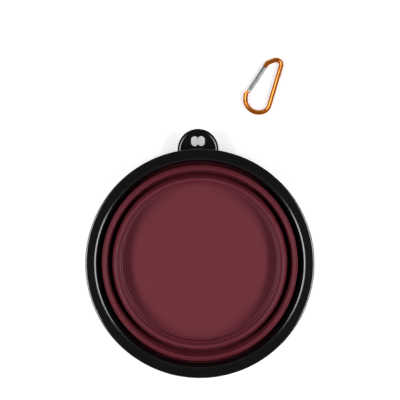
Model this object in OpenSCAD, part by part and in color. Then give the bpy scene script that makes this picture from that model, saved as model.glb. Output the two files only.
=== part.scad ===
// Collapsible silicone bowl with a stiff rim, shown folded flat, and the
// snap hook that it hangs from, lying beside it. Millimetres, +Z up. The
// origin is on the bowl's axis, on the surface that its base rests on, and
// +Y points at the hanging tab.

/* [Rim] */
// Outside diameter of the rim
rim_d = 180; // [150:1:220]
// Width of the flat band on top of the rim
rim_band_w = 7.6; // [7:0.1:10]
// Height of the rim, from its top to the bottom of its skirt
rim_h = 13; // [10:0.5:15]
// Height of the rim's inner wall
rim_inner_h = 10.5; // [8:0.5:12]
// How far the inner wall leans inwards over its height
rim_lean = 2.2; // [1:0.1:3]
// Thickness of the rim's walls
rim_wall = 2.2; // [1.4:0.1:2.6]
// Radius of the rim's outer top edge
rim_edge_r = 1.4; // [0.4:0.1:2]
// Radius of the rim's inner top edge
rim_inner_edge_r = 0.6; // [0.2:0.1:1]

/* [Hanging tab] */
// Radius of the rounded tab
tab_r = 16.2; // [14:0.1:20]
// Thickness of the tab's plate
tab_t = 3.2; // [2:0.1:5]
// Drop from the rim's top to the top of the tab's bead
tab_drop = 5.5; // [4:0.1:7]
// Width of the raised bead round the tab
bead_w = 2.2; // [1:0.1:3]
// Height of the bead above the plate
bead_h = 1; // [0.4:0.1:2]
// Width of the hanging hole
hole_w = 11.4; // [8:0.1:14]
// Height of the hanging hole, out from the rim
hole_l = 8.4; // [7:0.1:10]
// Radius of the hanging hole's two lobes
lobe_r = 3.1; // [2.9:0.1:3.5]
// How far the middle of the tab's hole lies outside the rim
hole_out = 6.4; // [5.5:0.1:7.5]

/* [Folding wall] */
// Height of the bowl when it is folded flat
folded_h = 18; // [17:0.5:24]
// Thickness of the stiff bands
band_t = 2.2; // [1.6:0.1:2.6]
// Thickness of the thin folds between the bands
web_t = 1; // [0.6:0.1:1.4]
// Drop from the rim's top to the upper crest
upper_crest_drop = 2; // [1:0.1:3]
// Drop from the rim's top to the lower crest
lower_crest_drop = 2.8; // [1.5:0.1:4]
// How far a crest falls from its edge to its fold
crest_fall = 1.5; // [1:0.1:2.2]
// How far a crest's shoulder lies inside its fold
shoulder_in = 0.8; // [0.5:0.1:1]
// How far a crest's shoulder lies below its edge
shoulder_fall = 0.5; // [0.3:0.1:0.7]
// Radius of a crest's edge
crest_r = 0.8; // [0.3:0.1:1]
// Height of the troughs above the surface
trough_h = 2.8; // [2.4:0.1:4]
// Thickness of a trough's floor
trough_t = 1.4; // [0.8:0.1:1.8]
// Gap beside a fold in its trough
trough_gap = 0.3; // [0.2:0.05:0.6]
// Room between the collar and the middle band as they pass
upper_fold_clear = 0.6; // [0.4:0.1:1.5]
// Room between the middle band and the lower band as they pass
lower_fold_clear = 1.4; // [0.4:0.1:2.5]
// How far the collar leans inwards below the rim
collar_lean = 0.6; // [0.2:0.1:1.2]
// Air between the collar and the rim's skirt
channel_gap = 1; // [0.4:0.1:1.4]
// How far the middle band leans inwards over its height
middle_lean = 2.4; // [1:0.1:4]
// How far the sloping part of the lower band runs inwards
lower_run = 3.5; // [2:0.1:6]

/* [Base] */
// Thickness of the base
base_t = 2; // [1.4:0.1:3]
// Height of the upright wall round the base
base_wall_h = 7; // [4:0.5:9]
// How far the upright wall leans inwards
base_wall_lean = 0.5; // [0.2:0.1:1.5]
// How far the base stands out past its wall
base_lip = 0.5; // [0.2:0.1:1.5]
// Radius of the base's lower edge
base_edge_r = 0.8; // [0.3:0.1:1.2]

/* [Snap hook] */
// Diameter of the hook's rod
rod_d = 3.8; // [3:0.1:4.6]
// Length of the hook's straight back
spine_l = 33; // [30:0.5:40]
// Radius of the bend below the back, on the rod's centre line
foot_r = 8; // [7:0.1:10]
// Straight length between the foot bend and the heel bend
bottom_l = 0.8; // [0.5:0.1:3]
// Radius of the heel bend, on the rod's centre line
heel_r = 10.8; // [10:0.1:13]
// Angle of the foot bend
foot_turn = 73; // [68:1:78]
// Angle of the heel bend
heel_bend = 98; // [95:1:101]
// Distance from the heel bend to the gate's pivot, along the rod
heel_l = 5.7; // [5:0.1:7]
// How far the gate's pivot lies inside the rod's centre line
hinge_in = 2.1; // [1.5:0.1:2.5]
// Radius of the top bend, on the rod's centre line
top_r = 4; // [3.5:0.1:5]
// Angle of the top bend
top_turn = 128; // [122:1:132]
// Straight length of the top arm
arm_l = 5.2; // [4.5:0.1:6]
// Radius of the nose bend, on the rod's centre line
nose_r = 3.2; // [2.5:0.1:4]
// Straight length of the nose
nose_l = 2.6; // [1.5:0.1:4]
// Distance from the latch pin to the solid end of the nose
nose_gap = 1.6; // [1.4:0.1:2.2]
// Across the page, where the middle of the hook's back lies
hook_x = 63; // [50:1:80]
// Up the page, where the middle of the hook's back lies
hook_y = 141; // [135:1:170]
// Angle by which the hook is turned
hook_angle = -17.6; // [-30:0.1:0]

/* [Gate] */
// Outside diameter of the gate
gate_d = 3.4; // [2.8:0.1:3.8]
// How far the gate reaches past its pivot
gate_tail = 1.2; // [1:0.1:1.6]
// Width of the slots at the gate's two ends
slot_w = 1.5; // [1.2:0.1:1.8]
// Diameter of the gate's inner bore
gate_bore_d = 2.2; // [1.9:0.1:2.4]
// Depth of the gate's inner bore from its lower slot
gate_bore_l = 9; // [7:0.5:12]
// Diameter of the rivet that the gate turns on
rivet_d = 1.2; // [0.9:0.1:1.4]
// Diameter of the rivet's heads
rivet_head_d = 2; // [1.6:0.1:2.4]
// Diameter of the latch pin
latch_d = 1; // [0.7:0.1:1.2]
// Length of the spring
spring_l = 5; // [4:0.5:6]
// Thickness of the spring's coil
spring_t = 0.35; // [0.2:0.05:0.5]
// Length of the plunger's head
plunger_l = 2; // [1:0.1:2.5]
// Diameter of the plunger's tip
plunger_tip_d = 1.2; // [0.8:0.1:1.2]

/* [Clearances] */
// Gap at a soft seat
seat_gap = 0.3; // [0.2:0.05:0.5]
// Running clearance of a turning pin, on the radius
pin_gap = 0.05; // [0.02:0.01:0.1]
// Side clearance of the flattened rod ends in the gate's slots
side_gap = 0.15; // [0.1:0.01:0.25]
// End clearance of the gate against the rod
end_gap = 0.3; // [0.2:0.05:0.5]

/* [Hidden] */
$fn = 120;
// Sides of the hook's round pieces
hook_fn = 48;
// Overrun of every cut
over = 1;
// Straight steps in a rounded corner
corner_steps = 4;
// How far a straight stretch of rod reaches into its bends, and how much
// thinner it is there, so that the two overlap cleanly
lap = 0.3;
lap_step = 0.02;

// Radii of the bowl, from the rim inwards
rim_r = rim_d / 2;
rim_in_r = rim_r - rim_band_w;
rim_low_r = rim_in_r - rim_lean;
collar_low_r = rim_low_r - collar_lean;
upper_web_low_r = collar_low_r - trough_gap;
upper_web_high_r = upper_web_low_r - web_t - upper_fold_clear;
middle_slope = middle_lean / (folded_h - upper_crest_drop - trough_h);
middle_crest_r = upper_web_high_r - web_t - band_t + middle_slope * crest_fall;
middle_low_r = middle_crest_r - middle_lean;
lower_web_low_r = middle_low_r - trough_gap;
lower_web_high_r = lower_web_low_r - web_t - lower_fold_clear;
lower_slope = lower_run / (folded_h - lower_crest_drop - base_t - base_wall_h);
// Thickness of the sloping part, measured level
lower_level_t = band_t * norm([1, lower_slope]);
lower_crest_r = lower_web_high_r - web_t - lower_level_t + lower_slope * crest_fall;
ledge_r = lower_crest_r - lower_run;
base_in_r = ledge_r - base_wall_lean;

// Heights of the bowl, folded
rim_low_z = folded_h - rim_h;
rim_inner_low_z = folded_h - rim_inner_h;
channel_z = folded_h - rim_wall;
trough_low_z = trough_h - trough_t;
middle_crest_z = folded_h - upper_crest_drop;
middle_fold_z = middle_crest_z - crest_fall;
lower_crest_z = folded_h - lower_crest_drop;
lower_fold_z = lower_crest_z - crest_fall;
ledge_z = base_t + base_wall_h;

// Tab
tab_top_z = folded_h - tab_drop;
tab_plate_z = tab_top_z - bead_h;
tab_low_z = tab_plate_z - tab_t;

// Snap hook, in its own plane: its back runs along Y with its middle at zero
rod_r = rod_d / 2;
foot_c = [-foot_r, -spine_l / 2];
foot_end = foot_c + foot_r * [cos(foot_turn), -sin(foot_turn)];
foot_way = [-sin(foot_turn), -cos(foot_turn)];
heel_c = foot_end + bottom_l * foot_way - heel_r * [cos(foot_turn), -sin(foot_turn)];
heel_turn = foot_turn + heel_bend;
heel_end = heel_c + heel_r * [cos(heel_turn), -sin(heel_turn)];
heel_way = [-sin(heel_turn), -cos(heel_turn)];
pivot = heel_end + heel_l * heel_way + hinge_in * [heel_way.y, -heel_way.x];
top_c = [-top_r, spine_l / 2];
arm_start = top_c + top_r * [cos(top_turn), sin(top_turn)];
arm_way = [-sin(top_turn), cos(top_turn)];
arm_end = arm_start + arm_l * arm_way;
nose_c = arm_end - nose_r * [cos(top_turn), sin(top_turn)];
// The nose bends until it points at the pivot
nose_aim = pivot - nose_c;
nose_turn = atan2(nose_aim.y, nose_aim.x) + 360 - acos(nose_r / norm(nose_aim));
nose_bend_end = nose_c + nose_r * [cos(nose_turn), sin(nose_turn)];
nose_way = [-sin(nose_turn), cos(nose_turn)];
nose_end = nose_bend_end + nose_l * nose_way;
gate_l = norm(nose_end - pivot) - nose_gap;
gate_way = (nose_end - pivot) / norm(nose_end - pivot);
gate_lean = atan2(gate_way.y, gate_way.x) - 90;
gate_r = gate_d / 2;
tongue_t = slot_w - 2 * side_gap;
tongue_r = gate_r - side_gap;
shoulder = norm([gate_r, gate_tail]) + end_gap;
// Middle of the rod's end face at the hinge, and the flat end's way to the pivot
hinge_start = heel_end + (heel_l - shoulder - lap) * heel_way;
hinge_way = pivot - hinge_start;
gate_end = gate_l + nose_gap - end_gap;
slot_l = tongue_r + end_gap;
nose_slot = gate_end - gate_l + tongue_r + end_gap;
bore_r = gate_bore_d / 2;
plunger_r = bore_r - pin_gap;

function unit(v) = v / norm(v);

// Points of a corner at b, rounded with radius r, between a and c
function corner(a, b, c, r) =
    r == 0 ? [b] :
    let (
        u = unit(a - b),
        w = unit(c - b),
        half = acos(u * w) / 2,
        centre = b + unit(u + w) * r / sin(half),
        start = b + u * r / tan(half) - centre,
        stop = b + w * r / tan(half) - centre,
        from = atan2(start.y, start.x),
        turn = (atan2(stop.y, stop.x) - from + 540) % 360 - 180
    )
    [for (i = [0 : corner_steps])
        let (angle = from + turn * i / corner_steps)
        centre + r * [cos(angle), sin(angle)]];

// An outline of points [x, y, corner radius]
function outline(points) =
    let (n = len(points), flat = [for (p = points) [p.x, p.y]])
    [for (i = [0 : n - 1])
        each corner(flat[(i + n - 1) % n], flat[i], flat[(i + 1) % n], points[i].z)];

// A ring about the bowl's axis, of [radius, height, corner radius]
module ring(points) {
    rotate_extrude() polygon(outline(points));
}

// Flat round bottom of the bowl
module base_panel() {
    edge = base_in_r + band_t + base_lip;
    color("#6e343d") ring([
        [0, 0, 0],
        [edge, 0, base_edge_r],
        [edge, base_t, 0],
        [0, base_t, 0]]);
}

// Stiff lower band: upright at the base, then sloping out to its crest
module lower_band() {
    color("#6e343d") ring([
        [base_in_r, base_t, 0],
        [base_in_r + band_t, base_t, 0],
        [ledge_r + lower_level_t, ledge_z, crest_r],
        [lower_web_high_r - web_t, lower_fold_z, 0],
        [lower_web_high_r, lower_fold_z, 0],
        [lower_web_high_r - shoulder_in, lower_crest_z - shoulder_fall, crest_r],
        [lower_crest_r, lower_crest_z, crest_r],
        [ledge_r, ledge_z, crest_r]]);
}

// Thin wall that folds between two bands, drawn as it lies folded
module web(low_r, high_r, high_z) {
    low_z = trough_h + seat_gap;
    ring([
        [low_r - web_t, low_z, 0],
        [low_r, low_z, 0],
        [high_r, high_z, 0],
        [high_r - web_t, high_z, 0]]);
}

module lower_fold() {
    color("#64303a") web(lower_web_low_r, lower_web_high_r, lower_fold_z);
}

// Stiff band between the two folds, with a crest above and a trough below
module middle_band() {
    lip_r = lower_web_low_r - web_t;
    color("#6e343d") ring([
        [lip_r, trough_low_z, 0],
        [middle_low_r + band_t, trough_low_z, crest_r],
        [upper_web_high_r - web_t, middle_fold_z, 0],
        [upper_web_high_r, middle_fold_z, 0],
        [upper_web_high_r - shoulder_in, middle_crest_z - shoulder_fall, crest_r],
        [middle_crest_r, middle_crest_z, crest_r],
        [middle_low_r, trough_h, 0],
        [lip_r, trough_h, 0]]);
}

module upper_fold() {
    color("#64303a") web(upper_web_low_r, upper_web_high_r, middle_fold_z);
}

// Top of the silicone, held in the rim's channel, with a trough for the fold
module silicone_collar() {
    lip_r = upper_web_low_r - web_t;
    back_r = rim_in_r + rim_wall;
    back_low_r = rim_low_r + rim_wall;
    slope = rim_lean / rim_inner_h;
    color("#6e343d") ring([
        [lip_r, trough_low_z, 0],
        [collar_low_r + band_t, trough_low_z, crest_r],
        [back_low_r + band_t, rim_inner_low_z, crest_r],
        [rim_r - rim_wall - channel_gap, channel_z, 0],
        [back_r - slope * rim_wall, channel_z, 0],
        [back_low_r, rim_inner_low_z, 0],
        [rim_low_r, rim_inner_low_z, 0],
        [collar_low_r, trough_h, 0],
        [lip_r, trough_h, 0]]);
}

// Stiff rim: a skirt, a flat top band and a leaning inner wall
module rim_ring() {
    slope = rim_lean / rim_inner_h;
    color("#1b1b1d") ring([
        [rim_low_r, rim_inner_low_z, 0],
        [rim_low_r + rim_wall, rim_inner_low_z, 0],
        [rim_in_r + rim_wall - slope * rim_wall, channel_z, 0],
        [rim_r - rim_wall, channel_z, 0],
        [rim_r - rim_wall, rim_low_z, 0],
        [rim_r, rim_low_z, 0],
        [rim_r, folded_h, rim_edge_r],
        [rim_in_r, folded_h, rim_inner_edge_r]]);
}

// Flat outline of the tab, drawn in by inset
module tab_outline(inset) {
    translate([0, rim_r]) circle(tab_r - inset);
    translate([inset - tab_r, rim_r - tab_r]) square([2 * (tab_r - inset), tab_r]);
}

// Hanging hole: two round-ended lobes side by side, with a point between them
module hole_outline() {
    reach = hole_l / 2 - lobe_r;
    for (side = [-1, 1]) translate([side * (hole_w / 2 - lobe_r), 0]) {
        for (end = [-1, 1]) translate([0, end * reach]) circle(lobe_r);
        square([2 * lobe_r, 2 * reach], center = true);
    }
}

// Tab on the rim's side, with a raised bead along its edge
module hanging_tab() {
    color("#1b1b1d") difference() {
        union() {
            translate([0, 0, tab_low_z]) linear_extrude(tab_t) tab_outline(0);
            translate([0, 0, tab_plate_z]) linear_extrude(bead_h) difference() {
                tab_outline(0);
                tab_outline(bead_w);
            }
        }
        translate([0, 0, tab_low_z - over]) cylinder(r = rim_r, h = tab_t + bead_h + 2 * over);
        translate([0, rim_r + hole_out, tab_low_z - over])
            linear_extrude(tab_t + bead_h + 2 * over) hole_outline();
    }
}

// Puts the snap hook where it lies, on the same surface as the bowl
module hook_place() {
    translate([hook_x, hook_y, rod_r]) rotate(hook_angle) children();
}

// Puts a piece on the gate's axis, which runs along Y from the pivot
module gate_place() {
    hook_place() translate(pivot) rotate(gate_lean) children();
}

// A bend of the rod about a centre, from one angle through a turn
module bend(centre, radius, from, turn) {
    translate(centre) rotate(from) rotate_extrude(angle = turn)
        translate([radius, 0]) circle(rod_r, $fn = hook_fn);
}

// A straight stretch of the rod, lapped into what it joins at both ends
module stretch(start, way, length) {
    translate(start - lap * way) rotate([90, 0, atan2(way.y, way.x) + 90])
        cylinder(r = rod_r - lap_step, h = length + 2 * lap, $fn = hook_fn);
}

// The rod without its flattened ends
module rod() {
    stretch([0, -spine_l / 2], [0, 1], spine_l);
    bend(foot_c, foot_r, -foot_turn, foot_turn);
    stretch(foot_end, foot_way, bottom_l);
    bend(heel_c, heel_r, -heel_turn, heel_bend);
    stretch(heel_end, heel_way, heel_l - shoulder - lap);
    bend(top_c, top_r, 0, top_turn);
    stretch(arm_start, arm_way, arm_l);
    bend(nose_c, nose_r, top_turn, nose_turn - top_turn);
    stretch(nose_bend_end, nose_way, nose_l - lap);
}

// Flat end of the rod that the gate's fork turns on
module pivot_tongue() {
    translate(pivot) rotate([0, 0, atan2(hinge_way.y, hinge_way.x) - 90])
        difference() {
            translate([0, 0, -tongue_t / 2]) union() {
                cylinder(r = tongue_r, h = tongue_t, $fn = hook_fn);
                translate([-tongue_r, -norm(hinge_way), 0])
                    cube([2 * tongue_r, norm(hinge_way), tongue_t]);
            }
            translate([0, 0, -tongue_t])
                cylinder(d = rivet_d + 2 * pin_gap, h = 2 * tongue_t, $fn = hook_fn);
        }
}

// Flat end of the nose, with a notch that catches the latch pin
module nose_tongue() {
    notch_d = latch_d + 2 * side_gap;
    translate(pivot) rotate(gate_lean) translate([0, gate_l, -tongue_t / 2]) difference() {
        union() {
            cylinder(r = tongue_r, h = tongue_t, $fn = hook_fn);
            translate([-tongue_r, 0, 0]) cube([2 * tongue_r, nose_gap + lap, tongue_t]);
        }
        translate([0, 0, -over]) cylinder(d = notch_d, h = tongue_t + 2 * over, $fn = hook_fn);
        translate([0, -notch_d / 2, -over]) cube([tongue_r + over, notch_d, tongue_t + 2 * over]);
    }
}

// Bent rod of the snap hook
module hook_frame() {
    color("#e2761f") hook_place() {
        rod();
        pivot_tongue();
        nose_tongue();
    }
}

// Tube of the gate, with a fork at each end and a bore for the spring
module hook_gate() {
    color("#c9ccd0") gate_place() difference() {
        translate([0, -gate_tail, 0]) rotate([-90, 0, 0])
            cylinder(r = gate_r, h = gate_end + gate_tail, $fn = hook_fn);
        translate([-gate_r - over, -gate_tail - over, -slot_w / 2])
            cube([gate_d + 2 * over, slot_l + gate_tail + over, slot_w]);
        translate([-gate_r - over, gate_end - nose_slot, -slot_w / 2])
            cube([gate_d + 2 * over, nose_slot + over, slot_w]);
        translate([0, slot_l - side_gap, 0]) rotate([-90, 0, 0])
            cylinder(r = bore_r, h = gate_bore_l + side_gap, $fn = hook_fn);
        translate([0, 0, -gate_r - over]) cylinder(d = rivet_d, h = gate_d + 2 * over, $fn = hook_fn);
        translate([0, gate_l, -gate_r - over])
            cylinder(d = latch_d, h = gate_d + 2 * over, $fn = hook_fn);
    }
}

// Rivet through the fork and the rod's flat end, with a head on each side
module gate_rivet() {
    head_t = rod_r - gate_r;
    color("#a9adb2") gate_place() {
        translate([0, 0, -rod_r]) cylinder(d = rivet_d, h = rod_d, $fn = hook_fn);
        for (z = [-rod_r, gate_r])
            translate([0, 0, z]) cylinder(d = rivet_head_d, h = head_t, $fn = hook_fn);
    }
}

// Cross pin that drops into the nose's notch
module latch_pin() {
    color("#a9adb2") gate_place()
        translate([0, gate_l, -gate_r]) cylinder(d = latch_d, h = gate_d, $fn = hook_fn);
}

// Spring inside the gate, as the sleeve that its wire fills
module gate_spring() {
    color("#8d9094") gate_place()
        translate([0, slot_l + gate_bore_l - spring_l, 0]) rotate([-90, 0, 0]) difference() {
            cylinder(r = plunger_r, h = spring_l, $fn = hook_fn);
            translate([0, 0, -over])
                cylinder(r = plunger_r - spring_t, h = spring_l + 2 * over, $fn = hook_fn);
        }
}

// Plunger that the spring presses on the rod's flat end
module spring_plunger() {
    head_y = slot_l + gate_bore_l - spring_l - seat_gap - plunger_l;
    color("#a9adb2") gate_place() rotate([-90, 0, 0]) {
        translate([0, 0, tongue_r + pin_gap])
            cylinder(d = plunger_tip_d, h = head_y - tongue_r - pin_gap, $fn = hook_fn);
        translate([0, 0, head_y]) cylinder(r = plunger_r, h = plunger_l, $fn = hook_fn);
    }
}

base_panel();
lower_band();
lower_fold();
middle_band();
upper_fold();
silicone_collar();
rim_ring();
hanging_tab();
hook_frame();
hook_gate();
gate_rivet();
latch_pin();
gate_spring();
spring_plunger();
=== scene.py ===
"""Collapsible silicone bowl, folded flat, with its snap hook lying beside it.

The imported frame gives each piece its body. The sizes of the object are in
millimetres, from the bowl's axis and the surface that it stands on, and its
heights are those of the folded bowl. Meshes and the studio are in metres.
"""

import logging
import math
from contextlib import contextmanager
from dataclasses import dataclass, replace
from enum import Enum
from typing import Callable, Iterator, Sequence

import bmesh
import bpy
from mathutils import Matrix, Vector

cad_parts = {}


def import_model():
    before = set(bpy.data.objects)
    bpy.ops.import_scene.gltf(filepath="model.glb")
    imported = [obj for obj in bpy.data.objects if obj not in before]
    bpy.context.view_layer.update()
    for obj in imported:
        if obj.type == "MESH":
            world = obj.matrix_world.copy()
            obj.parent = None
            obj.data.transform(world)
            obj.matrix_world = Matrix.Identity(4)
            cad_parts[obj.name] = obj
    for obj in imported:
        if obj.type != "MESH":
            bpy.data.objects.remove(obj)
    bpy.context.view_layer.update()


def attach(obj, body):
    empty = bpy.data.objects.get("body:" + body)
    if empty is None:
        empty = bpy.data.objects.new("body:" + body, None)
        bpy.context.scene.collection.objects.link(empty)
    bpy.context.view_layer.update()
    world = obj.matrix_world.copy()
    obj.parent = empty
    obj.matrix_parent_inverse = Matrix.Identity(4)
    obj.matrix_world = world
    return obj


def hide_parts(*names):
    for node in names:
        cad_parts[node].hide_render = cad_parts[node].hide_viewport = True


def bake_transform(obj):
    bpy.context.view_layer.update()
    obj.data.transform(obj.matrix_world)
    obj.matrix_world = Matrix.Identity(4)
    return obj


LOG = logging.getLogger("bowl")
MM = 0.001

# Millimetres
MERGE = 0.002  # Points of a piece that are closer than this become one
NEAR = 0.02  # How far off a length may be when edges are picked
SKIM = 0.01  # How far below an end the points of that end are picked
OVER = 1.0  # How far a cutter reaches past what it cuts

# Pieces that have a lamp of their own
ROD = "hook_rod"
TUBE = "gate_tube"

# Sockets of a colour mix, whose names aren't unique
MIX_FACTOR, MIX_FIRST, MIX_SECOND, MIX_RESULT = 0, 6, 7, 2

# Noise: the fineness and strength of a mottle's detail, and the values between
# which a mottle and a relief mostly lie
MOTTLE_DETAIL = 4.0
MOTTLE_ROUGHNESS = 0.6
MOTTLE_RANGE = (0.32, 0.68)
RELIEF_RANGE = (0.3, 0.7)

Piece = bpy.types.Object
Pair = tuple[float, float]
Triple = tuple[float, float, float]
Section = list[Pair]
Test = Callable[[Vector], bool]


class Pick(Enum):
    """What a selection in edit mode is made of."""

    POINT = "VERT"
    EDGE = "EDGE"
    FACE = "FACE"


class Body(Enum):
    """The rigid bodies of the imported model."""

    BASE = "base"
    MIDDLE = "middle"
    RIM = "rim"
    HOOK = "hook"
    GATE = "gate"


# Bench tools


def put_down() -> None:
    """Deselects every object."""
    bpy.ops.object.select_all(action="DESELECT")


def take(piece: Piece) -> None:
    """Selects one piece alone and makes it the active one."""
    put_down()
    piece.select_set(True)
    bpy.context.view_layer.objects.active = piece


@contextmanager
def opened(piece: Piece) -> Iterator[None]:
    """Opens a piece in edit mode with nothing selected, and closes it after."""
    take(piece)
    bpy.ops.object.mode_set(mode="EDIT")
    bpy.ops.mesh.select_mode(type=Pick.POINT.value)
    bpy.ops.mesh.select_all(action="DESELECT")
    yield
    bpy.ops.object.mode_set(mode="OBJECT")


def pick(piece: Piece, kind: Pick, test: Test) -> None:
    """Selects the edges or faces of an opened piece whose points pass a test.

    Args:
        piece: The piece, in edit mode and at the origin.
        kind: Whether edges or faces are picked.
        test: Takes a point in millimetres and says whether it counts.
    """
    bpy.ops.mesh.select_mode(type=kind.value)
    bpy.ops.mesh.select_all(action="DESELECT")
    shape = bmesh.from_edit_mesh(piece.data)
    for part in shape.edges if kind is Pick.EDGE else shape.faces:
        part.select_set(all(test(point.co / MM) for point in part.verts))
    shape.select_flush_mode()
    bmesh.update_edit_mesh(piece.data)


def round_off(piece: Piece, test: Test, width: float, steps: int) -> None:
    """Bevels the edges of an opened piece whose points pass a test.

    Args:
        piece: The piece, in edit mode and at the origin.
        test: Takes a point in millimetres and says whether it counts.
        width: The bevel's width, in millimetres.
        steps: The faces across the bevel.
    """
    pick(piece, Pick.EDGE, test)
    bpy.ops.mesh.bevel(offset=width * MM, segments=steps, affect="EDGES")


def extrude(step: Sequence[float]) -> None:
    """Extrudes what is selected in an opened piece, by a step in millimetres."""
    bpy.ops.mesh.extrude_region_move(
        TRANSFORM_OT_translate={"value": [length * MM for length in step]})


def fix_place(piece: Piece) -> None:
    """Puts a piece's object at the origin and its place in its mesh."""
    take(piece)
    bpy.ops.object.transform_apply(location=True, rotation=True, scale=True)


def put(piece: Piece, where: Sequence[float], turn: Sequence[float] = (0, 0, 0)) -> Piece:
    """Moves a finished piece into place.

    Args:
        piece: The piece, made at the origin.
        where: Its place, in millimetres.
        turn: Its turn about X, Y and Z, in degrees.

    Returns:
        The same piece.
    """
    piece.location = Vector(where) * MM
    piece.rotation_euler = [math.radians(angle) for angle in turn]
    fix_place(piece)
    return piece


def lay(piece: Piece) -> Piece:
    """Turns a piece made along the Z axis so that it lies along Y."""
    return put(piece, (0, 0, 0), (-90, 0, 0))


def tidy(piece: Piece, sharp: float = 38) -> Piece:
    """Merges a piece's doubles, turns its faces outwards and smooths it.

    Args:
        piece: The piece to finish.
        sharp: The angle above which an edge stays sharp, in degrees.

    Returns:
        The same piece.
    """
    with opened(piece):
        bpy.ops.mesh.select_all(action="SELECT")
        bpy.ops.mesh.remove_doubles(threshold=MERGE * MM)
        bpy.ops.mesh.normals_make_consistent(inside=False)
    take(piece)
    bpy.ops.object.shade_smooth_by_angle(angle=math.radians(sharp))
    return piece


def change(piece: Piece, kind: str, **settings: object) -> None:
    """Adds a modifier to a piece and applies it."""
    take(piece)
    modifier = piece.modifiers.new(kind, kind)
    for key, value in settings.items():
        setattr(modifier, key, value)
    bpy.ops.object.modifier_apply(modifier=modifier.name)


def combine(piece: Piece, tool: Piece, operation: str) -> None:
    """Cuts a piece with a tool, or joins the two, and throws the tool away.

    Args:
        piece: The piece that is kept.
        tool: The piece that is used up.
        operation: DIFFERENCE or UNION.
    """
    change(piece, "BOOLEAN", operation=operation, object=tool, solver="EXACT")
    bpy.data.objects.remove(tool)


def block(low: Sequence[float], high: Sequence[float]) -> Piece:
    """Makes a box between two corners, in millimetres."""
    put_down()
    bpy.ops.mesh.primitive_cube_add(size=1)
    piece = bpy.context.object
    piece.scale = (Vector(high) - Vector(low)) * MM
    piece.location = (Vector(high) + Vector(low)) * MM / 2
    fix_place(piece)
    return piece


def bar(radius: float, low: float, high: float, sides: int = 48) -> Piece:
    """Makes a round bar about the Z axis between two heights, in millimetres."""
    put_down()
    bpy.ops.mesh.primitive_cylinder_add(
        vertices=sides, radius=radius * MM, depth=(high - low) * MM,
        location=(0, 0, (high + low) * MM / 2))
    piece = bpy.context.object
    fix_place(piece)
    return piece


def rounded(outline: Sequence[Triple], steps: int = 6) -> Section:
    """Rounds the corners of a closed section.

    Args:
        outline: Radius, height and fillet of each corner, in millimetres.
        steps: Straight steps in each fillet.

    Returns:
        Radius and height of each point, in millimetres.
    """
    section: Section = []
    for i, (radius, height, fillet) in enumerate(outline):
        here = Vector((radius, height))
        if not fillet:
            section.append((radius, height))
            continue
        before = (Vector(outline[i - 1][:2]) - here).normalized()
        after = (Vector(outline[(i + 1) % len(outline)][:2]) - here).normalized()
        half = before.angle(after) / 2
        centre = here + (before + after).normalized() * fillet / math.sin(half)
        start = here + before * fillet / math.tan(half) - centre
        stop = here + after * fillet / math.tan(half) - centre
        first = math.atan2(start.y, start.x)
        sweep = (math.atan2(stop.y, stop.x) - first + math.pi) % math.tau - math.pi
        for k in range(steps + 1):
            angle = first + sweep * k / steps
            section.append((centre.x + fillet * math.cos(angle),
                            centre.y + fillet * math.sin(angle)))
    return section


def rings(section: Section, sides: int) -> None:
    """Starts a round piece: one ring of points for each point of a section.

    The piece stays open in edit mode, with its last ring selected.

    Args:
        section: Radius and height of each ring, in millimetres.
        sides: Points in each ring.
    """
    radius, height = section[0]
    put_down()
    bpy.ops.mesh.primitive_circle_add(vertices=sides, radius=radius * MM,
                                      location=(0, 0, height * MM), enter_editmode=True)
    for r, z in section[1:]:
        extrude((0, 0, z - height))
        bpy.ops.transform.resize(value=(r / radius, r / radius, 1),
                                 center_override=(0, 0, z * MM))
        radius, height = r, z


def turned(name: str, section: Section, sides: int = 256) -> Piece:
    """Turns a closed section about the Z axis, one ring after another.

    Args:
        name: The piece's name.
        section: Radius and height of each point, in millimetres. Points on
            the axis are left out, and the opening that they leave is closed.
        sides: Points in each ring.

    Returns:
        The piece, at the origin.
    """
    off_axis = [point for point in section if point[0] > 0]
    rings(off_axis, sides)
    bpy.ops.mesh.select_all(action="DESELECT")
    bpy.ops.mesh.select_non_manifold(use_wire=False, use_multi_face=False,
                                     use_non_contiguous=False, use_verts=False)
    if len(off_axis) < len(section):
        bpy.ops.mesh.fill_holes(sides=0)
        bpy.ops.mesh.select_mode(type=Pick.FACE.value)
        bpy.ops.mesh.select_all(action="DESELECT")
        bpy.ops.mesh.select_face_by_sides(number=sides, type="EQUAL")
        bpy.ops.mesh.poke()
    else:
        bpy.ops.mesh.bridge_edge_loops()
    bpy.ops.object.mode_set(mode="OBJECT")
    piece = bpy.context.object
    piece.name = name
    fix_place(piece)
    return tidy(piece)


# Finishes


class Graph:
    """A material's node tree, with its main shader."""

    def __init__(self, name: str) -> None:
        """Starts a material of that name."""
        self.material = bpy.data.materials.new(name)
        self.material.use_nodes = True
        self.tree = self.material.node_tree
        self.shader = self.tree.nodes["Principled BSDF"]
        self.output = self.tree.nodes["Material Output"]

    def add(self, kind: str, values: dict[str | int, object] | None = None,
            **settings: object) -> bpy.types.Node:
        """Adds a node.

        Args:
            kind: The node's type, without its common start.
            values: What each input gets: a value, or a socket to link.
            settings: The node's own settings.

        Returns:
            The new node.
        """
        node = self.tree.nodes.new("ShaderNode" + kind)
        for key, value in settings.items():
            setattr(node, key, value)
        for key, value in (values or {}).items():
            self.feed(node.inputs[key], value)
        return node

    def feed(self, socket: bpy.types.NodeSocket, value: object) -> None:
        """Links a socket to another, or sets its value."""
        if isinstance(value, bpy.types.NodeSocket):
            self.tree.links.new(value, socket)
        else:
            socket.default_value = value

    def ramp(self, value: bpy.types.NodeSocket, given: Pair, wanted: Pair) -> bpy.types.Node:
        """Adds a node that maps a value from a given range to a wanted one."""
        return self.add("MapRange", {"Value": value, "From Min": given[0], "From Max": given[1],
                                     "To Min": wanted[0], "To Max": wanted[1]})


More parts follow.
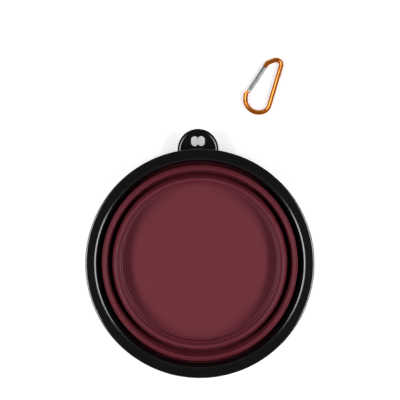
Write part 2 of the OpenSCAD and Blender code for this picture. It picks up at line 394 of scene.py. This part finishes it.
@dataclass(frozen=True)
class Grain:
    """A fine relief in a surface, its height in millimetres."""

    scale: float
    height: float
    detail: float = 2
    stretch: Triple = (1, 1, 1)


@dataclass(frozen=True)
class Finish:
    """A surface: its two colours, its gloss and its relief.

    The gloss is a range of roughness, the mottle is the scale of the cloud that
    mixes the colours, and the turn is that of all patterns about Z, in degrees.
    """

    name: str
    slot: str
    colour: Triple
    shade: Triple
    gloss: Pair
    grains: tuple[Grain, ...]
    mottle: float = 60
    metallic: float = 0
    specular: float = 0.5
    turn: float = 0

    def make(self) -> bpy.types.Material:
        """Builds the material, with its patterns on Object coordinates."""
        graph = Graph(self.name)
        place = graph.add("TexCoord").outputs["Object"]
        mapped = graph.add("Mapping", {"Vector": place})
        mapped.inputs["Rotation"].default_value = (0, 0, math.radians(self.turn))
        cloud = graph.add("TexNoise", {"Vector": mapped.outputs[0], "Scale": self.mottle,
                                       "Detail": MOTTLE_DETAIL, "Roughness": MOTTLE_ROUGHNESS})
        spread = graph.ramp(cloud.outputs[0], MOTTLE_RANGE, (0.0, 1.0))
        tone = graph.add("Mix", {MIX_FACTOR: spread.outputs[0], MIX_FIRST: (*self.colour, 1),
                                 MIX_SECOND: (*self.shade, 1)}, data_type="RGBA")
        relief = None
        for grain in self.grains:
            scaled = graph.add("Mapping", {"Vector": mapped.outputs[0]})
            scaled.inputs["Scale"].default_value = grain.stretch
            noise = graph.add("TexNoise", {"Vector": scaled.outputs[0], "Scale": grain.scale,
                                           "Detail": grain.detail})
            bump = graph.add("Bump", {"Height": noise.outputs[0], "Distance": grain.height * MM,
                                      "Strength": 1.0})
            if relief:
                graph.feed(bump.inputs["Normal"], relief.outputs[0])
            relief, last = bump, noise
        dull = graph.ramp(last.outputs[0], RELIEF_RANGE, self.gloss)
        for key, value in {"Base Color": tone.outputs[MIX_RESULT], "Normal": relief.outputs[0],
                           "Roughness": dull.outputs[0], "Metallic": self.metallic,
                           "Specular IOR Level": self.specular}.items():
            graph.feed(graph.shader.inputs[key], value)
        return graph.material


SILICONE = Finish(
    name="moulded_silicone", slot="silicone", colour=(0.158, 0.0225, 0.035),
    shade=(0.150, 0.0205, 0.032), gloss=(0.43, 0.52), specular=0.38,
    grains=(Grain(scale=90, height=0.12, detail=3), Grain(scale=2600, height=0.02)))
FOLD = replace(
    SILICONE, name="thin_silicone", slot="silicone_fold", colour=(0.153, 0.0215, 0.033),
    shade=(0.145, 0.0195, 0.030))
RIM_PLASTIC = Finish(
    name="satin_black_plastic", slot="rim_plastic", colour=(0.0072, 0.0072, 0.0077),
    shade=(0.0060, 0.0060, 0.0065), gloss=(0.17, 0.23), mottle=45,
    grains=(Grain(scale=55, height=0.08, detail=2), Grain(scale=1900, height=0.006)))
ANODISED = Finish(
    name="orange_anodising", slot="anodised_rod", colour=(0.56, 0.148, 0.009),
    shade=(0.50, 0.130, 0.007), gloss=(0.08, 0.11), metallic=0.5, specular=0.35, mottle=120,
    grains=(Grain(scale=1500, height=0.0006, detail=3),))
GATE_METAL = Finish(
    name="drawn_tube", slot="gate_metal", colour=(0.27, 0.285, 0.28),
    shade=(0.18, 0.19, 0.185), gloss=(0.28, 0.40), metallic=1, mottle=160,
    turn=34.35, grains=(Grain(scale=900, height=0.012, stretch=(1, 0.03, 1)),))
PIN_METAL = Finish(
    name="bare_steel", slot="pin_metal", colour=(0.60, 0.60, 0.61),
    shade=(0.48, 0.48, 0.50), gloss=(0.24, 0.34), metallic=1, mottle=300,
    grains=(Grain(scale=1200, height=0.005),))


class Workshop:
    """Dresses each finished piece and puts each stiff one on its body."""

    def __init__(self) -> None:
        """Starts with no finish made."""
        self.made: dict[str, bpy.types.Material] = {}

    def material(self, finish: Finish) -> bpy.types.Material:
        """Returns a finish's material, made once."""
        if finish.name not in self.made:
            self.made[finish.name] = finish.make()
        return self.made[finish.name]

    def dress(self, piece: Piece, finish: Finish, nodes: Sequence[str]) -> None:
        """Gives a piece its finish and says which nodes it stands for."""
        piece.data.materials.clear()
        piece.data.materials.append(self.material(finish))
        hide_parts(*nodes)
        LOG.info("%s stands for %s, %d faces", piece.name, ", ".join(nodes),
                 len(piece.data.polygons))

    def fit(self, piece: Piece, finish: Finish, body: Body, *nodes: str) -> None:
        """Dresses a rigid piece and lets it ride on its body."""
        self.dress(piece, finish, nodes)
        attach(piece, body.value)

    def hinge(self, piece: Piece, finish: Finish,
              node: str) -> None:
        """Dresses a thin fold and bakes its place into its mesh, on no body.

        Args:
            piece: The fold.
            finish: Its finish.
            node: The node that it stands for.
        """
        self.dress(piece, finish, [node])
        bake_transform(piece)


@dataclass
class FoldingBowl:
    """The silicone moulding: three stiff zones and the two folds between them."""

    # Thicknesses of the zones and of the folds
    wall: float = 2.2
    web: float = 1.0
    # Radii and heights of the foot, the ledge, the crests and the folds' tops; the
    # lip and the shoulder are steps from such a corner
    base_in: float = 62.993
    base_top: float = 2.0
    base_out: float = 65.693
    foot_rise: float = 0.05
    ledge: Pair = (63.2, 9.0)
    ledge_lip: Pair = (0.5, 0.28)
    ledge_wall: float = 2.526
    brow: Pair = (65.2, 13.8)
    lower_crest: Pair = (66.6, 15.2)
    lower_fold: Pair = (68.9, 11.5)
    middle_crest: Pair = (73.9, 16.0)
    middle_fold: Pair = (77.7, 12.2)
    shoulder: Pair = (0.4, 0.9)
    # Heights of a trough's underside and floor, and radii of a fold's and a band's foot
    trough: Pair = (1.4, 2.8)
    lower_trough: Pair = (72.073, 72.373)
    upper_trough: Pair = (79.3, 79.6)
    # The collar's bend, and its top: two radii and a height
    collar_low: Pair = (80.2, 7.5)
    collar_top: Triple = (84.14, 86.8, 15.8)
    # Fillets
    soft_edge: float = 0.8
    crease: float = 0.2
    foot_edge: float = 0.3
    ledge_bend: float = 3.0
    lip_edge: float = 0.25
    brow_bend: float = 1.5
    ridge: float = 0.3
    well: float = 0.9
    trough_edge: float = 0.5
    trough_bend: float = 1.0
    # How far a fold's ends go into the zones, and the rings along it
    bedded: float = 0.6
    fold_steps: int = 28

    def base(self) -> Piece:
        """Makes the flat base and the lower stiff band, one solid zone."""
        fold_r, fold_z = self.lower_fold
        crest_r, crest_z = self.lower_crest
        section = rounded([
            (0, 0, 0),
            (self.base_out, 0, self.soft_edge),
            (self.base_out, self.base_top, self.foot_edge),
            (self.base_in + self.wall, self.base_top + self.foot_rise, self.crease),
            (self.ledge[0] + self.ledge_wall, self.ledge[1], self.ledge_bend),
            (fold_r - self.web, fold_z, 0),
            (fold_r, fold_z, 0),
            (fold_r - self.shoulder[0], fold_z + self.shoulder[1], self.soft_edge),
            (crest_r, crest_z, self.ridge),
            (*self.brow, self.brow_bend),
            (self.ledge[0] + self.ledge_lip[0], self.ledge[1] + self.ledge_lip[1], self.lip_edge),
            (*self.ledge, self.crease),
            (self.base_in, self.base_top, self.well),
            (0, self.base_top, 0)])
        return turned("bowl_base", section)

    def middle(self) -> Piece:
        """Makes the stiff band between the two folds."""
        fold_r, fold_z = self.middle_fold
        crest_r, crest_z = self.middle_crest
        lip = self.lower_trough[0] - self.web
        low, high = self.trough
        foot = self.lower_trough[1]
        return turned("bowl_middle_band", rounded([
            (lip, low, self.trough_edge),
            (foot + self.wall, low, self.trough_bend),
            (fold_r - self.web, fold_z, 0),
            (fold_r, fold_z, 0),
            (fold_r - self.shoulder[0], fold_z + self.shoulder[1], self.soft_edge),
            (crest_r, crest_z, self.ridge),
            (foot, high, self.trough_edge),
            (lip, high, self.crease)]))

    def collar(self) -> Piece:
        """Makes the top of the silicone, which sits in the rim's channel."""
        lip = self.upper_trough[0] - self.web
        low, high = self.trough
        foot = self.upper_trough[1]
        seat_r, seat_z = self.collar_low
        inner, outer, top = self.collar_top
        return turned("bowl_collar", rounded([
            (lip, low, self.trough_edge),
            (foot + self.wall, low, self.trough_bend),
            (seat_r + 2 * self.wall, seat_z, self.trough_bend),
            (outer, top, 0),
            (inner, top, 0),
            (seat_r + self.wall, seat_z, 0),
            (seat_r, seat_z, 0),
            (foot, high, self.trough_edge),
            (lip, high, self.crease)]))

    def fold(self, name: str, top: Pair, foot: float) -> Piece:
        """Makes a thin fold that hangs from a crest down into a trough.

        Args:
            name: The piece's name.
            top: Outer radius and height of its upper end.
            foot: Outer radius of its lower end.

        Returns:
            The fold, with its two ends bedded in the stiff zones.
        """
        high_r, high_z = top
        low_z = self.trough[1]
        steps = self.fold_steps
        span = [(high_r + (foot - high_r) * k / steps, high_z + (low_z - high_z) * k / steps)
                for k in range(steps + 1)]
        outer = [(high_r - self.bedded, high_z + self.bedded)] + span
        outer.append((foot, low_z - self.bedded))
        inner = [(r - self.web, z) for r, z in reversed(span)]
        inner.insert(0, (foot - self.web, low_z - self.bedded))
        inner.append((high_r - self.web, high_z + self.bedded))
        return turned(name, outer + inner)

    def build(self, shop: Workshop) -> None:
        """Makes, dresses and places the five zones."""
        shop.fit(self.base(), SILICONE, Body.BASE, "base_panel", "lower_band")
        shop.fit(self.middle(), SILICONE, Body.MIDDLE, "middle_band")
        shop.fit(self.collar(), SILICONE, Body.RIM, "silicone_collar")
        lower = self.fold("bowl_lower_fold", self.lower_fold, self.lower_trough[0])
        shop.hinge(lower, FOLD,
                   "lower_fold")
        upper = self.fold("bowl_upper_fold", self.middle_fold, self.upper_trough[0])
        shop.hinge(upper, FOLD,
                   "upper_fold")


@dataclass
class Rim:
    """The stiff rim and its hanging tab."""

    # Radii and heights of the ring; the brim and the lip are steps from its top
    outer: float = 90.0
    inner: float = 82.4
    inner_low: float = 80.2
    top: float = 18.0
    low: float = 5.0
    inner_bottom: float = 7.5
    channel: float = 15.8
    wall: float = 2.2
    brim: Pair = (1.3, 0.33)
    lip: Pair = (0.4, 0.68)
    lip_over: float = 0.8
    # The tab's radius, heights and bead, and the Y at which it meets the ring
    tab: float = 16.2
    tab_low: float = 8.3
    tab_plate: float = 11.5
    tab_top: float = 12.5
    bead: float = 2.2
    bead_slant: Pair = (0.8, 0.4)
    root: float = 88.65
    # The hole's width and length, the radius of its lobes and its middle's Y
    hole: Pair = (10.6, 7.8)
    lobe: float = 2.75
    hole_y: float = 96.6
    # Fillets and bevels
    edge: float = 0.5
    brim_round: float = 0.8
    skirt_edge: float = 0.4
    lip_edges: Pair = (0.2, 0.3)
    bead_edge: float = 0.2
    hole_edge: float = 0.35
    edge_steps: int = 4
    # Points round the ring, the tab and a lobe
    sides: int = 320
    tab_sides: int = 192
    lobe_sides: int = 64

    def ring(self) -> Piece:
        """Makes the skirt, the flat top band and the leaning inner wall."""
        lean = (self.inner - self.inner_low) / (self.top - self.inner_bottom)
        return turned("rim", rounded([
            (self.inner_low, self.inner_bottom, self.skirt_edge),
            (self.inner_low + self.wall, self.inner_bottom, 0),
            (self.inner + self.wall - lean * self.wall, self.channel, 0),
            (self.outer - self.wall, self.channel, 0),
            (self.outer - self.wall, self.low, self.skirt_edge),
            (self.outer, self.low, self.edge),
            (self.outer, self.top - self.brim[1], self.brim_round),
            (self.outer - self.brim[0], self.top, self.edge),
            (self.inner + self.lip[0], self.top, self.lip_edges[0]),
            (self.inner - self.lip_over, self.top - self.lip[1], self.lip_edges[1])]),
            self.sides)

    def hole_tool(self) -> Piece:
        """Makes the cutter for the hole: two round-ended lobes side by side."""
        reach = self.hole[1] / 2 - self.lobe
        side = self.hole[0] / 2 - self.lobe
        low, high = self.tab_low - OVER, self.tab_top + OVER
        tool = None
        for x in (-side, side):
            shapes = [bar(self.lobe, low, high, self.lobe_sides),
                      bar(self.lobe, low, high, self.lobe_sides),
                      block((-self.lobe, -reach, low), (self.lobe, reach, high))]
            for shape, y in zip(shapes, (-reach, reach, 0)):
                put(shape, (x, self.hole_y + y, 0))
                if tool:
                    combine(tool, shape, "UNION")
                else:
                    tool = shape
        return tool

    def plate(self) -> Piece:
        """Makes the rounded tab with its raised bead and its hole."""
        put_down()
        bpy.ops.mesh.primitive_cylinder_add(
            vertices=self.tab_sides, radius=self.tab * MM,
            depth=(self.tab_top - self.tab_low) * MM,
            location=(0, self.outer * MM, (self.tab_top + self.tab_low) * MM / 2))
        piece = bpy.context.object
        piece.name = "rim_tab"
        fix_place(piece)
        with opened(piece):
            pick(piece, Pick.FACE, lambda p: p.z > self.tab_top - SKIM)
            wide, deep = self.bead_slant
            bpy.ops.mesh.inset(thickness=(self.bead - wide) * MM)
            bpy.ops.mesh.inset(thickness=wide * MM, depth=-deep * MM)
            extrude((0, 0, self.tab_plate - self.tab_top + deep))
        combine(piece, self.hole_tool(), "DIFFERENCE")
        self.soften(piece)
        with opened(piece):
            bpy.ops.mesh.select_all(action="SELECT")
            bpy.ops.mesh.bisect(plane_co=(0, self.root * MM, 0), plane_no=(0, 1, 0),
                                use_fill=True, clear_inner=True)
        return tidy(piece)

    def soften(self, piece: Piece) -> None:
        """Rounds the bead's edges and the edges of the hole."""
        def off(p: Vector) -> float:
            """Distance from the tab's middle."""
            return math.hypot(p.x, p.y - self.outer)

        def near(value: float, size: float) -> bool:
            """Whether two lengths agree."""
            return abs(value - size) < NEAR

        inside = self.tab - self.edge
        edges: tuple[tuple[float, Test], ...] = (
            (self.edge, lambda p: near(p.z, self.tab_top) and near(off(p), self.tab)),
            (self.bead_edge, lambda p: near(p.z, self.tab_top) and off(p) < inside),
            (self.edge, lambda p: near(p.z, self.tab_low) and near(off(p), self.tab)),
            (self.hole_edge, lambda p: near(p.z, self.tab_plate) and off(p) < inside - self.bead),
            (self.hole_edge, lambda p: near(p.z, self.tab_low) and off(p) < inside))
        for width, test in edges:
            with opened(piece):
                round_off(piece, test, width, self.edge_steps)

    def build(self, shop: Workshop) -> None:
        """Makes, dresses and places the rim and its tab."""
        shop.fit(self.ring(), RIM_PLASTIC, Body.RIM, "rim_ring")
        shop.fit(self.plate(), RIM_PLASTIC, Body.RIM, "hanging_tab")


@dataclass
class SnapHook:
    """The bent rod and its sprung gate, lying flat beside the bowl."""

    place: Triple = (63.0, 141.0, 1.9)
    angle: float = -17.6
    rod: float = 1.9
    # The rod's start and first heading, and then each straight or bend: the
    # degrees that it turns by, and its length or its radius
    start: Pair = (-20.7699, -12.4679)
    heading: float = -81.0
    path: tuple[Pair, ...] = (
        (0, 3.319), (98, 10.8), (0, 0.8), (73, 8.0), (0, 33.0), (128, 4.0),
        (0, 5.2), (35.253, 3.2), (0, 2.6))
    rod_sides: int = 40
    bend_step: float = 4.0
    bend_least: int = 6
    # The flattened ends: thickness and half width, and how far they go into the rod
    flat: Pair = (1.2, 1.55)
    tail_root: float = 0.3
    nose_root: float = 1.9
    frame_drill: float = 2.0
    # The gate's pivot, lean and radius, and its places along its axis from the pivot
    pivot: Pair = (-19.0682, -9.7874)
    gate_lean: float = -16.747
    gate: float = 1.7
    gate_tail: float = 1.2
    latch_y: float = 21.5297
    gate_end: float = 22.8297
    slot: float = 1.5
    slot_depth: float = 1.85
    nose_slot: float = 3.15
    bore: Pair = (1.1, 9.0)
    bore_lap: float = 0.15
    gate_edge: float = 0.18
    gate_edge_steps: int = 3
    gate_sides: int = 64
    gate_drill: float = 3.0
    # The rivet: its shank and head, the flat share of the head and its slope
    rivet: float = 0.6
    rivet_head: float = 1.0
    rivet_flat: float = 0.55
    rivet_slope: float = 0.24
    rivet_edges: Pair = (0.4, 0.2)
    rivet_sides: int = 48
    # The latch pin and its notch, and the plunger: its three heights and its stem
    latch: float = 0.5
    latch_short: float = 0.03
    notch: float = 0.65
    plunger: Triple = (1.6, 3.55, 5.55)
    stem: float = 0.6
    stem_round: float = 0.3
    play: float = 0.05
    pin_edge: float = 0.15
    pin_steps: int = 3
    pin_sides: int = 40
    # The spring's start and length
    spring: Pair = (5.85, 5.0)
    wire: float = 0.17
    turns: int = 8
    turn_steps: int = 20
    wire_sides: int = 12

    def swept(self) -> Piece:
        """Sweeps the rod's round section along its straights and bends."""
        put_down()
        bpy.ops.mesh.primitive_circle_add(
            vertices=self.rod_sides, radius=self.rod * MM,
            location=(self.start[0] * MM, self.start[1] * MM, 0),
            rotation=(math.pi / 2, 0, math.radians(self.heading - 90)),
            fill_type="NGON", enter_editmode=True)
        here, way = Vector(self.start), math.radians(self.heading)
        for turn, size in self.path:
            if turn:
                centre = here + size * Vector((-math.sin(way), math.cos(way)))
                bpy.ops.mesh.spin(steps=max(self.bend_least, round(turn / self.bend_step)),
                                  angle=-math.radians(turn), axis=(0, 0, 1),
                                  center=(centre.x * MM, centre.y * MM, 0))
                way += math.radians(turn)
                here = centre + size * Vector((math.sin(way), -math.cos(way)))
            else:
                step = size * Vector((math.cos(way), math.sin(way)))
                extrude((step.x, step.y, 0))
                here += step
        bpy.ops.object.mode_set(mode="OBJECT")
        piece = bpy.context.object
        piece.name = ROD
        fix_place(piece)
        return tidy(piece)

    def frame(self) -> Piece:
        """Makes the rod with its two flattened ends, its pin hole and its notch."""
        piece = self.swept()
        thick, half = self.flat
        start = Vector(self.start)
        lean = math.degrees(math.atan2(self.pivot[1] - start.y, self.pivot[0] - start.x)) - 90
        reach = (Vector(self.pivot) - start).length + self.tail_root
        drill = self.frame_drill
        tongue = bar(half, -thick / 2, thick / 2)
        combine(tongue, block((-half, -reach, -thick / 2), (half, 0, thick / 2)), "UNION")
        combine(tongue, bar(self.rivet + self.play, -drill, drill), "DIFFERENCE")
        combine(piece, put(tongue, (*self.pivot, 0), (0, 0, lean)), "UNION")
        nose = bar(half, -thick / 2, thick / 2)
        combine(nose, block((-half, 0, -thick / 2), (half, self.nose_root, thick / 2)), "UNION")
        combine(nose, bar(self.notch, -drill, drill), "DIFFERENCE")
        combine(nose, block((0, -self.notch, -drill), (half + OVER, self.notch, drill)),
                "DIFFERENCE")
        way = math.radians(self.gate_lean + 90)
        spot = Vector(self.pivot) + self.latch_y * Vector((math.cos(way), math.sin(way)))
        combine(piece, put(nose, (*spot, 0), (0, 0, self.gate_lean)), "UNION")
        return tidy(put(piece, self.place, (0, 0, self.angle)))

    def hang(self, piece: Piece) -> Piece:
        """Puts a piece made about the pivot, along Y, on the gate's axis."""
        turn = math.radians(self.angle)
        x, y = self.pivot
        spot = (self.place[0] + x * math.cos(turn) - y * math.sin(turn),
                self.place[1] + x * math.sin(turn) + y * math.cos(turn), self.place[2])
        return tidy(put(piece, spot, (0, 0, self.angle + self.gate_lean)))

    def tube(self) -> Piece:
        """Makes the gate: a tube with a fork at each end and a bore."""
        piece = lay(bar(self.gate, -self.gate_tail, self.gate_end, self.gate_sides))
        piece.name = TUBE
        with opened(piece):
            for test in (lambda p: p.y < SKIM - self.gate_tail,
                         lambda p: p.y > self.gate_end - SKIM):
                round_off(piece, test, self.gate_edge, self.gate_edge_steps)
        half = self.slot / 2
        wide = self.gate + OVER
        drill = self.gate_drill
        combine(piece, block((-wide, -drill, -half), (wide, self.slot_depth, half)), "DIFFERENCE")
        combine(piece, block((-wide, self.gate_end - self.nose_slot, -half),
                             (wide, self.gate_end + OVER, half)), "DIFFERENCE")
        radius, depth = self.bore
        bore = bar(radius, self.slot_depth - self.bore_lap, self.slot_depth + depth)
        combine(piece, lay(bore), "DIFFERENCE")
        combine(piece, bar(self.rivet_head, -drill, drill), "DIFFERENCE")
        combine(piece, put(bar(self.latch, -drill, drill), (0, self.latch_y, 0)), "DIFFERENCE")
        return self.hang(piece)

    def pins(self) -> tuple[Piece, Piece, Piece]:
        """Makes the rivet, the latch pin and the plunger."""
        head, shank, top = self.rivet_head, self.rivet, self.rod
        flat, slope = head * self.rivet_flat, self.rivet_slope
        crown, brink = self.rivet_edges
        inside = self.slot / 2
        rivet = turned("gate_rivet_pin", rounded([
            (0, -top, 0), (flat, -top, crown), (head, -top + slope, brink),
            (head, -inside, 0), (shank, -inside, 0), (shank, inside, 0), (head, inside, 0),
            (head, top - slope, brink), (flat, top, crown), (0, top, 0)],
            self.pin_steps), self.rivet_sides)
        end = self.gate - self.latch_short
        latch = turned("gate_latch_pin", rounded([
            (0, -end, 0), (self.latch, -end, self.pin_edge),
            (self.latch, end, self.pin_edge), (0, end, 0)], self.pin_steps), self.pin_sides)
        put(latch, (0, self.latch_y, 0))
        low, shelf, high = self.plunger
        disc = self.bore[0] - self.play
        plunger = turned("gate_plunger", rounded([
            (0, low, 0), (self.stem, low, self.stem_round), (self.stem, shelf, 0),
            (disc, shelf, self.pin_edge), (disc, high, self.pin_edge), (0, high, 0)],
            self.pin_steps), self.pin_sides)
        return self.hang(rivet), self.hang(latch), self.hang(lay(plunger))

    def coil(self) -> Piece:
        """Makes the spring as a coil of wire."""
        low, length = self.spring
        radius = self.bore[0] - self.play - self.wire
        put_down()
        bpy.ops.mesh.primitive_circle_add(vertices=self.wire_sides, radius=self.wire * MM)
        piece = bpy.context.object
        piece.name = "gate_spring_coil"
        put(piece, (radius, low + self.wire, 0))
        rise = (length - 2 * self.wire) * MM / self.turns
        change(piece, "SCREW", axis="Y", angle=math.tau, screw_offset=rise,
               iterations=self.turns, steps=self.turn_steps, render_steps=self.turn_steps,
               use_merge_vertices=False)
        with opened(piece):
            bpy.ops.mesh.select_non_manifold()
            bpy.ops.mesh.fill_holes(sides=0)
        return self.hang(piece)

    def build(self, shop: Workshop) -> None:
        """Makes, dresses and places the rod, the gate and the gate's small parts."""
        shop.fit(self.frame(), ANODISED, Body.HOOK, "hook_frame")
        shop.fit(self.tube(), GATE_METAL, Body.GATE, "hook_gate")
        rivet, latch, plunger = self.pins()
        shop.fit(rivet, PIN_METAL, Body.GATE, "gate_rivet")
        shop.fit(latch, PIN_METAL, Body.GATE, "latch_pin")
        shop.fit(plunger, PIN_METAL, Body.GATE, "spring_plunger")
        shop.fit(self.coil(), PIN_METAL, Body.GATE, "gate_spring")


# Studio


class Link(Enum):
    """How a lamp treats the one piece that it names."""

    ALONE = "INCLUDE"
    NEVER = "EXCLUDE"


@dataclass(frozen=True)
class Softbox:
    """A soft rectangular lamp, which may light one piece alone or never."""

    name: str
    place: Triple
    size: Pair
    power: float
    aim: Triple = (0, 0, 0.01)
    piece: str = ""
    link: Link = Link.NEVER


@dataclass
class Studio:
    """The pale floor and its curved backdrop, the lamps and the camera."""

    # Radius and height of the backdrop's rings, from its top down to the floor
    profile: tuple[Pair, ...] = (
        (3.0, 1.7), (3.0, 0.45), (2.92, 0.2), (2.7, 0.05), (2.4, 0.0))
    # How bright the paper looks near the bowl and far from it, and those distances
    glow: Pair = (0.52, 0.88)
    glow_reach: Pair = (0.35, 1.2)
    ambient: float = 0.012
    lamps: tuple[Softbox, ...] = (
        Softbox("left_strip", (-0.40, -0.03, 0.385), (0.46, 0.10), 2.25, piece=ROD),
        Softbox("right_strip", (0.40, -0.03, 0.385), (0.46, 0.10), 2.25, piece=ROD),
        Softbox("rod_light", (-0.035, 0.215, 0.435), (0.16, 0.17), 1.7, (0.055, 0.14, 0.0),
                ROD, Link.ALONE),
        Softbox("gate_light", (-0.28, 0.47, 0.39), (0.20, 0.20), 0.7, (0.045, 0.146, 0.0),
                TUBE, Link.ALONE),
        Softbox("far_fill", (0.0, 0.55, 0.60), (0.60, 0.20), 0.04))
    eye: Triple = (0.0009, 0.0498, 0.538)
    roll: float = -0.9
    lens: float = 59.74
    sensor: float = 36
    sweep_sides: int = 96
    paper_tone: float = 0.8

    def sweep(self) -> None:
        """Makes the floor and the wall round it, in one curved sheet."""
        rings([(r / MM, z / MM) for r, z in self.profile], self.sweep_sides)
        bpy.ops.mesh.edge_face_add()
        bpy.ops.object.mode_set(mode="OBJECT")
        sheet = bpy.context.object
        sheet.name = "studio_sweep"
        fix_place(sheet)
        bpy.ops.object.shade_smooth()
        sheet.data.materials.append(self.paper())

    def paper(self) -> bpy.types.Material:
        """Makes the sweep's white paper, which shows pale and keeps shadows."""
        graph = Graph("studio_paper")
        rays = graph.add("LightPath").outputs
        seen = graph.add("Math", {0: rays["Is Camera Ray"], 1: rays["Is Glossy Ray"]},
                         operation="MAXIMUM")
        any_seen = graph.add("Math", {0: seen.outputs[0], 1: rays["Is Transmission Ray"]},
                             operation="MAXIMUM")
        place = graph.add("TexCoord").outputs["Object"]
        away = graph.add("VectorMath", {0: place}, operation="LENGTH")
        rise = graph.ramp(away.outputs["Value"], self.glow_reach, self.glow)
        level = graph.add("Math", {0: any_seen.outputs[0], 1: rise.outputs[0]},
                          operation="MULTIPLY")
        glow = graph.add("Emission", {"Strength": level.outputs[0]})
        plain = graph.add("BsdfDiffuse", {"Color": (*[self.paper_tone] * 3, 1)})
        both = graph.add("AddShader", {0: plain.outputs[0], 1: glow.outputs[0]})
        graph.feed(graph.output.inputs["Surface"], both.outputs[0])
        return graph.material

    def light(self) -> None:
        """Hangs the lamps and sets the dim light of the room."""
        for box in self.lamps:
            lamp = bpy.data.lights.new(box.name, "AREA")
            lamp.shape = "RECTANGLE"
            lamp.size, lamp.size_y = box.size
            lamp.energy = box.power
            holder = bpy.data.objects.new(box.name, lamp)
            holder.location = box.place
            way = Vector(box.aim) - Vector(box.place)
            holder.rotation_euler = way.to_track_quat("-Z", "Y").to_euler()
            holder.visible_camera = False
            bpy.context.scene.collection.objects.link(holder)
            if box.piece:
                holder.light_linking.receiver_collection = self.linked(box)
        world = bpy.data.worlds.new("room")
        world.use_nodes = True
        back = world.node_tree.nodes["Background"]
        back.inputs["Color"].default_value = (1, 1, 1, 1)
        back.inputs["Strength"].default_value = self.ambient
        bpy.context.scene.world = world

    def linked(self, box: Softbox) -> bpy.types.Collection:
        """Returns a collection of the piece that a lamp lights alone or never."""
        group = bpy.data.collections.new(box.name + "_piece")
        group.objects.link(bpy.data.objects[box.piece])
        group.collection_objects[0].light_linking.link_state = box.link.value
        return group

    def watch(self) -> None:
        """Puts the camera straight above, as the photograph was taken."""
        view = bpy.data.cameras.new("camera")
        view.sensor_width = self.sensor
        view.lens = self.lens
        camera = bpy.data.objects.new("camera", view)
        camera.location = self.eye
        camera.rotation_euler = (0, 0, math.radians(self.roll))
        bpy.context.scene.collection.objects.link(camera)
        bpy.context.scene.camera = camera

    def build(self) -> None:
        """Sets up the whole studio."""
        self.watch()
        self.sweep()
        self.light()
        bpy.context.scene.view_settings.view_transform = "Standard"


def main() -> None:
    """Builds the object round its frame, then the studio."""
    logging.basicConfig(level=logging.INFO, format="%(name)s: %(message)s")
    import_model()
    put_down()
    shop = Workshop()
    FoldingBowl().build(shop)
    Rim().build(shop)
    SnapHook().build(shop)
    Studio().build()


if __name__ == "__main__":
    main()
